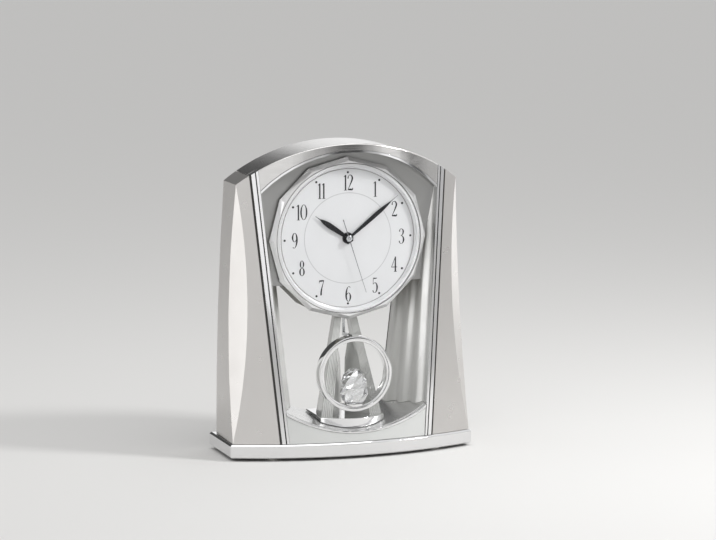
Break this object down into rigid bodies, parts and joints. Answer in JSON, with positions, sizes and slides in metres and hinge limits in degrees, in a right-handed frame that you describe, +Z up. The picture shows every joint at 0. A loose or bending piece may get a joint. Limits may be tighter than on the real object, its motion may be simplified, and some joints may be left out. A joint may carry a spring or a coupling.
{
  "type": "table clock",
  "caption": "Silver table clock with a bowed case, arched top, twelve-sided bezel, white numeral dial and a ring pendulum holding a cut crystal in an open window.",
  "frame": {"origin": "on the table under the middle of the clock's bounding box, at the bottom of the feet", "axes": "+Z up, -Y to the front where the dial faces, +X to the viewer's right"},
  "size_m": [0.192, 0.073, 0.2325],
  "materials": {
    "satin_silver": "metallic silver paint, satin",
    "chrome_plate": "bright chrome plating on plastic",
    "satin_chrome": "satin chrome plating on plastic",
    "grey_panel": "satin grey metallic",
    "pale_gloss": "glossy pale silver",
    "dark_plastic": "fine moulded grain",
    "dial_white": "matt white with a pale embossed line",
    "hand_black": "satin black paint",
    "steel": "bright steel",
    "brass": "turned brass",
    "clear_glass": "clear and polished",
    "crystal_glass": "cut and polished",
    "copper_wire": "enamelled copper wire",
    "circuit_green": "solder mask",
    "cell_jacket": "printed metal jacket, left plain",
    "foot_rubber": "matt"
  },
  "bodies": {
    "case": {"left_pillar": "satin_silver", "right_pillar": "satin_silver", "base_plinth": "chrome_plate", "left_trim_strip": "chrome_plate", "right_trim_strip": "chrome_plate", "arch_trim": "chrome_plate", "tray_trim": "chrome_plate", "bezel": "chrome_plate", "dial_ring": "chrome_plate", "left_inner_wall": "chrome_plate", "right_inner_wall": "chrome_plate", "pendulum_stage": "chrome_plate", "arch_top": "satin_chrome", "floor_tray": "satin_chrome", "dial_housing": "satin_chrome", "left_support_leg": "satin_chrome", "right_support_leg": "satin_chrome", "upper_panel": "grey_panel", "front_apron": "pale_gloss", "base_plate": "dark_plastic", "left_pillar_back": "dark_plastic", "right_pillar_back": "dark_plastic", "rear_apron": "dark_plastic", "back_cover": "dark_plastic", "movement_front": "dark_plastic", "movement_back": "dark_plastic", "pendulum_bracket": "dark_plastic", "dial": "dial_white", "motor_stator": "steel", "battery_plate": "steel", "battery_spring": "steel", "pivot_pin": "steel", "fixing_nut": "brass", "dial_glass": "clear_glass", "motor_coil": "copper_wire", "pendulum_coil": "copper_wire", "circuit_board": "circuit_green", "battery": "cell_jacket", "left_front_foot": "foot_rubber", "right_front_foot": "foot_rubber", "left_rear_foot": "foot_rubber", "right_rear_foot": "foot_rubber"},
    "minute_train": {"minute_hand": "hand_black", "centre_wheel": "brass"},
    "hour_train": {"hour_hand": "hand_black", "hour_wheel": "brass"},
    "second_train": {"second_hand": "steel", "hand_cap": "steel", "second_wheel": "steel"},
    "third_train": {"third_wheel": "brass"},
    "motion_train": {"minute_wheel": "brass"},
    "setting_train": {"setting_knob": "dark_plastic"},
    "pendulum": {"pendulum_rod": "steel", "pendulum_magnet": "steel", "pendulum_ring": "chrome_plate", "crystal_cup": "chrome_plate", "crystal": "crystal_glass"},
    "battery_lid": {"battery_door": "dark_plastic"}
  },
  "joints": [
    {"name": "minute_hand_turn", "type": "hinge", "parent": "case", "child": "minute_train", "pos_m": [0, 0, 0.1609], "axis": [0, 1, 0], "continuous": true},
    {"name": "hour_hand_turn", "type": "hinge", "parent": "case", "child": "hour_train", "pos_m": [0, 0, 0.1609], "axis": [0, 1, 0], "continuous": true},
    {"name": "second_hand_turn", "type": "hinge", "parent": "case", "child": "second_train", "pos_m": [0, 0, 0.1609], "axis": [0, 1, 0], "continuous": true},
    {"name": "third_wheel_turn", "type": "hinge", "parent": "case", "child": "third_train", "pos_m": [-0.00764, 0, 0.16854], "axis": [0, 1, 0], "continuous": true},
    {"name": "minute_wheel_turn", "type": "hinge", "parent": "case", "child": "motion_train", "pos_m": [0.008, 0, 0.1609], "axis": [0, 1, 0], "continuous": true},
    {"name": "setting_knob_turn", "type": "hinge", "parent": "case", "child": "setting_train", "pos_m": [0.017, 0, 0.1609], "axis": [0, 1, 0], "continuous": true},
    {"name": "pendulum_swing", "type": "hinge", "parent": "case", "child": "pendulum", "pos_m": [0, 0, 0.122], "axis": [0, 1, 0], "range_deg": [-4, 4]},
    {"name": "battery_door_slide", "type": "slide", "parent": "case", "child": "battery_lid", "axis": [0, 0, -1], "range_m": [0, 0.018]}
  ],
  "couplings": [
    {"joint": "hour_hand_turn", "follows": "minute_hand_turn", "ratio": 0.083333},
    {"joint": "second_hand_turn", "follows": "minute_hand_turn", "ratio": 60},
    {"joint": "third_wheel_turn", "follows": "minute_hand_turn", "ratio": -8},
    {"joint": "minute_wheel_turn", "follows": "minute_hand_turn", "ratio": -0.33333},
    {"joint": "setting_knob_turn", "follows": "minute_hand_turn", "ratio": 0.66667}
  ]
}
